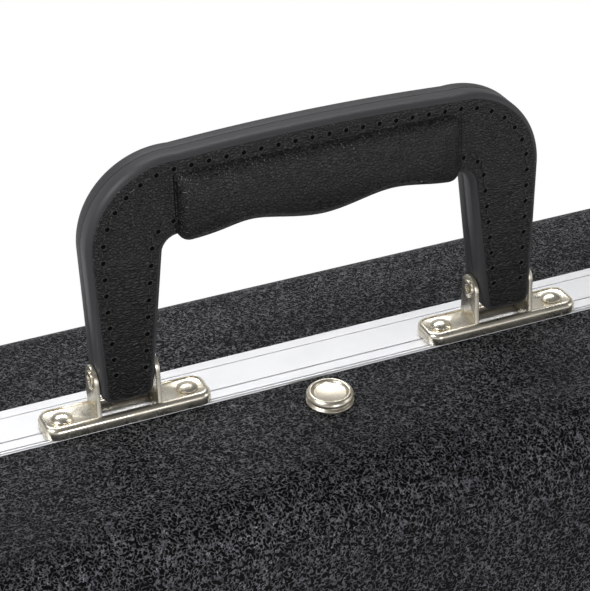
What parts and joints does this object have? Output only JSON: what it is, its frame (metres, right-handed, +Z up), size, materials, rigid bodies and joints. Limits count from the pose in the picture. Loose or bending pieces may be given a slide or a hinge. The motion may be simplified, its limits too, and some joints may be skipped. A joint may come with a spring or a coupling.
{
  "type": "electric guitar case",
  "caption": "Black moulded electric guitar case with a bright valance, nickel latches and hinges, and a stitched leather handle; the lid opens.",
  "frame": {"origin": "centre of the whole case's bounding box in X and Y, on the floor under the feet in Z", "axes": "+X along the case from the body end to the head end, +Y from the base half to the lid, +Z up from the feet to the handle"},
  "size_m": [1.0616, 0.131, 0.464],
  "materials": {
    "moulded_shell": "pebble grained, half gloss",
    "anodised_valance": "bright satin anodised",
    "plush_lining": "short black plush over foam",
    "tray_plastic": "moulded, fine matt",
    "nickel": "polished nickel plate",
    "bright_wire": "drawn nickel plated wire",
    "steel": "plain drawn steel",
    "leather": "black grained, stitched",
    "foot_rubber": "fine matt",
    "dark_rivet": "blackened steel"
  },
  "bodies": {
    "base": {"base_shell": "moulded_shell", "base_valance": "anodised_valance", "base_liner": "plush_lining", "neck_rest": "plush_lining", "accessory_box": "tray_plastic", "handle_bracket_left": "nickel", "handle_bracket_right": "nickel", "handle_pin_left": "nickel", "handle_pin_right": "nickel", "bracket_rivets": "nickel", "centre_stud": "nickel", "latch_pins": "nickel", "latch_rivets": "nickel", "hinge_pins": "steel", "hinge_rivets_base": "nickel", "base_feet": "foot_rubber", "foot_rivets_base": "dark_rivet", "latch_plate_left": "nickel", "latch_plate_right": "nickel", "latch_plate_body_end": "nickel", "latch_plate_head_end": "nickel", "hinge_base_leaf_body": "nickel", "hinge_base_leaf_middle": "nickel", "hinge_base_leaf_head": "nickel"},
    "lid": {"lid_shell": "moulded_shell", "lid_valance": "anodised_valance", "lid_liner": "plush_lining", "strike_rivets": "nickel", "hinge_rivets_lid": "nickel", "lid_feet": "foot_rubber", "foot_rivets_lid": "dark_rivet", "latch_strike_left": "nickel", "latch_strike_right": "nickel", "latch_strike_body_end": "nickel", "latch_strike_head_end": "nickel", "hinge_lid_leaf_body": "nickel", "hinge_lid_leaf_middle": "nickel", "hinge_lid_leaf_head": "nickel"},
    "handle": {"handle_front": "leather", "handle_back": "leather", "handle_strap": "steel"},
    "lever_left": {"latch_lever_left": "nickel"},
    "loop_left": {"latch_loop_left": "bright_wire"},
    "lever_right": {"latch_lever_right": "nickel"},
    "loop_right": {"latch_loop_right": "bright_wire"},
    "lever_body_end": {"latch_lever_body_end": "nickel"},
    "loop_body_end": {"latch_loop_body_end": "bright_wire"},
    "lever_head_end": {"latch_lever_head_end": "nickel"},
    "loop_head_end": {"latch_loop_head_end": "bright_wire"},
    "lock": {"lock_barrel": "nickel"}
  },
  "joints": [
    {"name": "lid_hinge", "type": "hinge", "parent": "base", "child": "lid", "pos_m": [0, 0.011, 0.01], "axis": [-1, 0, 0], "range_deg": [0, 100]},
    {"name": "handle_hinge", "type": "hinge", "parent": "base", "child": "handle", "pos_m": [-0.075, -0.0007, 0.3955], "axis": [1, 0, 0], "range_deg": [-90, 90]},
    {"name": "lever_left_hinge", "type": "hinge", "parent": "base", "child": "lever_left", "pos_m": [-0.25, 0.0065, 0.3875], "axis": [-1, 0, 0], "range_deg": [0, 130]},
    {"name": "loop_left_hinge", "type": "hinge", "parent": "lever_left", "child": "loop_left", "pos_m": [-0.25, -0.0005, 0.387], "axis": [-1, 0, 0], "range_deg": [-150, 0]},
    {"name": "lever_right_hinge", "type": "hinge", "parent": "base", "child": "lever_right", "pos_m": [0.1, 0.0065, 0.3875], "axis": [-1, 0, 0], "range_deg": [0, 130]},
    {"name": "loop_right_hinge", "type": "hinge", "parent": "lever_right", "child": "loop_right", "pos_m": [0.1, -0.0005, 0.387], "axis": [-1, 0, 0], "range_deg": [-150, 0]},
    {"name": "lever_body_end_hinge", "type": "hinge", "parent": "base", "child": "lever_body_end", "pos_m": [-0.5275, 0.0065, 0.198], "axis": [0, 0, -1], "range_deg": [0, 130]},
    {"name": "loop_body_end_hinge", "type": "hinge", "parent": "lever_body_end", "child": "loop_body_end", "pos_m": [-0.527, -0.0005, 0.198], "axis": [0, 0, -1], "range_deg": [-150, 0]},
    {"name": "lever_head_end_hinge", "type": "hinge", "parent": "base", "child": "lever_head_end", "pos_m": [0.5275, 0.0065, 0.139], "axis": [0, 0, 1], "range_deg": [0, 130]},
    {"name": "loop_head_end_hinge", "type": "hinge", "parent": "lever_head_end", "child": "loop_head_end", "pos_m": [0.527, -0.0005, 0.139], "axis": [0, 0, 1], "range_deg": [-150, 0]},
    {"name": "lock_turn", "type": "hinge", "parent": "lever_right", "child": "lock", "pos_m": [0.1, -0.013, 0.39], "axis": [0, 0, 1], "range_deg": [0, 90]}
  ],
  "couplings": [
    {"joint": "loop_left_hinge", "follows": "lever_left_hinge", "ratio": -1.15},
    {"joint": "loop_right_hinge", "follows": "lever_right_hinge", "ratio": -1.15},
    {"joint": "loop_body_end_hinge", "follows": "lever_body_end_hinge", "ratio": -1.15},
    {"joint": "loop_head_end_hinge", "follows": "lever_head_end_hinge", "ratio": -1.15}
  ]
}
